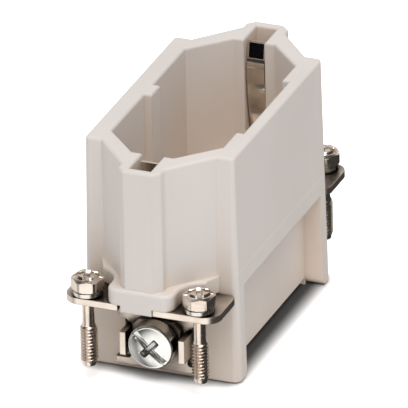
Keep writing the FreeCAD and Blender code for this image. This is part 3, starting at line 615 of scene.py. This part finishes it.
def fixing_screw(number, across, along):
    """The head's top is a low crown with an eased wall, a narrow ledge round it, and a bevel cut by a
    cone. The drive goes down from it. The rim drops as the six flats, then the rings pass over to the
    round neck and the thread."""
    lines = spread(-FIXING_CORE, FIXING_CORE, 13, (-FIXING_SLOT_HALF, FIXING_SLOT_HALF))
    x, y = head_plan(hexagon_rim, np.pi / 3, FIXING_CORE, lines, 14)
    far = np.hypot(x, y)
    top_level = HEAD_FOOT + HEAD_HEIGHT
    crown = top_level - 0.3 * (far / CROWN) ** 2
    bevel = np.minimum(HEAD_FOOT + HEAD_SHOULDER, HEAD_FOOT + HEAD_SHOULDER - (far - CROWN - 0.15) * 0.6)
    plateau = crown + (bevel - crown) * wall(far - CROWN + 0.18, 0.36)
    slot_floor = top_level - FIXING_SLOT_DEPTH
    cross_floor = top_level - FIXING_CROSS_DEPTH + 0.16 * y**2
    in_slot = 1 - wall(np.abs(y) - FIXING_SLOT_HALF, 0.14)
    in_cross = 1 - wall(np.abs(x) - FIXING_SLOT_HALF, 0.14)
    in_cross = in_cross * (1 - wall(np.abs(y) - FIXING_CROSS_HALF, 0.3))
    height = np.minimum(plateau, plateau + (slot_floor - plateau) * in_slot)
    height = np.minimum(height, plateau + (cross_floor - plateau) * in_cross)
    edge_x, edge_y = rim_of(x), rim_of(y)
    angles = np.arctan2(edge_y, edge_x)
    flats = np.hypot(edge_x, edge_y)
    rings = [
        ring_at(angles, flats, HEAD_FOOT + 0.3),
        ring_at(angles, np.minimum(flats, 3.62), HEAD_FOOT + 0.12),
        ring_at(angles, np.minimum(flats, 3.4), HEAD_FOOT),
        ring_at(angles, 1.6, HEAD_FOOT),
        ring_at(angles, NECK, HEAD_FOOT - 0.2),
        ring_at(angles, NECK, THREAD_TOP + 0.5),
        ring_at(angles, THREAD_CORE, THREAD_TOP + 0.2),
    ]
    levels = np.arange(THREAD_TOP, THREAD_END + 0.1, -0.07)
    rings += threaded(
        angles, levels, THREAD_CORE, THREAD_CREST, PITCH, THREAD_END - 0.2, THREAD_TOP + 0.2
    )
    for radius, level in (
        (THREAD_CORE, THREAD_END),
        (THREAD_CORE, SCREW_TIP + 0.3),
        (1.42, SCREW_TIP + 0.1),
        (1.2, SCREW_TIP),
    ):
        rings.append(ring_at(angles, radius, level))
    cos, sin = np.cos(np.radians(FIXING_TURNS[number])), np.sin(np.radians(FIXING_TURNS[number]))

    def stand(points):
        """Turns the points about the screw's axis and moves them there."""
        turned_x = points[..., 0] * cos - points[..., 1] * sin
        turned_y = points[..., 0] * sin + points[..., 1] * cos
        return np.stack([turned_x + across, turned_y + along, points[..., 2]], axis=-1)

    top = stand(np.stack([x, y, height], axis=-1))
    name = "captive_screw_%d" % number
    made = closed_piece(name, top, [stand(ring) for ring in rings], (across, along, SCREW_TIP), screw_nickel)
    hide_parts("fixing_screw_%d" % number)
    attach(made, "screw_%d" % number)


screw_nickel = plated(
    "fixing_nickel",
    light=(0.84, 0.76, 0.69, 1),
    dark=(0.72, 0.63, 0.55, 1),
    deep=(0.5, 0.27, 0.16, 1),
    smooth=0.14,
    rough=0.3,
    across=(1, 1, 6),
    edge=0.0001,
    reach=0.0009,
)
FIXING_PLACES = [(across, along) for along in (-38.75, 38.75) for across in (-13.5, 13.5)]
for number, (across, along) in enumerate(FIXING_PLACES, start=1):
    fixing_screw(number, across, along)
for number in (1, 2):
    dress("retainer_screw_%d" % number, screw_nickel)


# Spring washers: split rings of square steel wire, hardened and plated. They sit loose on the necks
# under the heads, and keep the screws from working loose once they are tight.

washer_steel = plated(
    "washer_steel",
    light=(0.80, 0.76, 0.71, 1),
    dark=(0.66, 0.61, 0.56, 1),
    deep=(0.06, 0.05, 0.04, 1),
    smooth=0.15,
    rough=0.3,
    across=(4, 4, 1),
    edge=0.0002,
)
for number in (1, 2, 3, 4):
    dress("spring_washer_%d" % number, washer_steel)


# White paper under the insert. The camera sees it brighter than the other surfaces do, so it burns out
#  to pure white. For the camera only, as well as the lamp's shadow, a painted shadow darkens its colour
#  round the foot, as in the photograph. That painted shadow starts inside the outline and is gone 6 mm
#  farther out.

FLOOR_HALF = 3.0
PAINTED_SHADOW_FROM = (0.0150, 0.0262, 0)
PAINTED_SHADOW_START, PAINTED_SHADOW_END = 0.0002, 0.0062
floor_mesh = bpy.data.meshes.new("paper")
corners = [(x * FLOOR_HALF, y * FLOOR_HALF, 0) for x, y in ((-1, -1), (1, -1), (1, 1), (-1, 1))]
floor_mesh.from_pydata(corners, [], [(0, 1, 2, 3)])
paper_finish, tree, shader = finish_of("paper")
shader.inputs["Roughness"].default_value = 1.0
shader.inputs["Specular IOR Level"].default_value = 0
rays = add_node(tree, "LightPath")
place = add_node(tree, "TexCoord").outputs["Object"]
# Painted shadow: how far the paper lies outside the foot sets how dark it is painted.
beyond = add_node(tree, "VectorMath", [(0, place)], operation="ABSOLUTE")
beyond = add_node(tree, "VectorMath", [(0, beyond.outputs[0]), (1, PAINTED_SHADOW_FROM)], operation="SUBTRACT")
beyond = add_node(tree, "VectorMath", [(0, beyond.outputs[0]), (1, (0, 0, 0))], operation="MAXIMUM")
away = add_node(tree, "VectorMath", [(0, beyond.outputs[0])], operation="LENGTH")
fade = add_node(tree, "MapRange", [(0, away.outputs["Value"]), (1, PAINTED_SHADOW_START), (2, PAINTED_SHADOW_END)])
painted_shadow_share = worked(tree, "POWER", fade.outputs[0], 1.7)
seen = blended(tree, painted_shadow_share, (0.09, 0.09, 0.09, 1), (2.1, 2.15, 2.2, 1))
white = blended(tree, rays.outputs["Is Camera Ray"], (0.88, 0.88, 0.88, 1), seen)
tree.links.new(white, shader.inputs["Base Color"])
floor_mesh.materials.append(paper_finish)
floor = bpy.data.objects.new("paper", floor_mesh)
bpy.context.scene.collection.objects.link(floor)
floor.visible_glossy = False


# Light: one broad soft lamp overhead and an even glow all round. What the metals mirror is given by
# direction: brightest in front below, weaker overhead, high behind and at the left below, and nearly
# dark between. It is set for the photograph's view, so from behind the metals look darker.

world = bpy.data.worlds.new("surroundings")
world.use_nodes = True
bpy.context.scene.world = world
tree = world.node_tree
rays = add_node(tree, "LightPath")
way = add_node(tree, "TexCoord").outputs["Generated"]
DARK_ROOM = 0.05
glow = DARK_ROOM
for toward, from_share, to_share, strength in (
    ((-0.02, -0.88, -0.46), 0.72, 0.9, 1.3),
    ((0.0, -0.45, 0.9), 0.88, 0.97, 0.8),
    ((-0.34, 0.83, 0.44), 0.6, 0.95, 0.75),
    ((-0.9, 0.1, -0.42), 0.62, 0.92, 0.95),
):
    share = add_node(tree, "VectorMath", [(0, way), (1, toward)], operation="DOT_PRODUCT")
    limits = [(1, from_share), (2, to_share), (3, DARK_ROOM), (4, strength)]
    patch = add_node(
        tree, "MapRange", [(0, share.outputs["Value"])] + limits, interpolation_type="SMOOTHSTEP"
    )
    glow = worked(tree, "MAXIMUM", glow, patch.outputs[0])
mirrored = add_node(tree, "VectorMath", [(0, (1.0, 0.96, 0.92)), (1, glow)], operation="MULTIPLY")
dim = blended(tree, rays.outputs["Is Glossy Ray"], (0.54, 0.52, 0.50, 1), mirrored.outputs[0])
tint = blended(tree, rays.outputs["Is Camera Ray"], dim, (1, 1, 1, 1))
tree.links.new(tint, tree.nodes["Background"].inputs["Color"])


def lamp(name, place, size, power):
    """A square area lamp that looks at the middle of the insert."""
    data = bpy.data.lights.new(name, "AREA")
    data.size = size
    data.energy = power
    made = bpy.data.objects.new(name, data)
    bpy.context.scene.collection.objects.link(made)
    place = Vector(place)
    made.matrix_world = Matrix.LocRotScale(place, (-place).to_track_quat("-Z", "Y"), None)


lamp("soft_lamp", (0.3, -0.45, 1.1), 0.8, 7.9)

bpy.context.scene.view_settings.view_transform = "Standard"
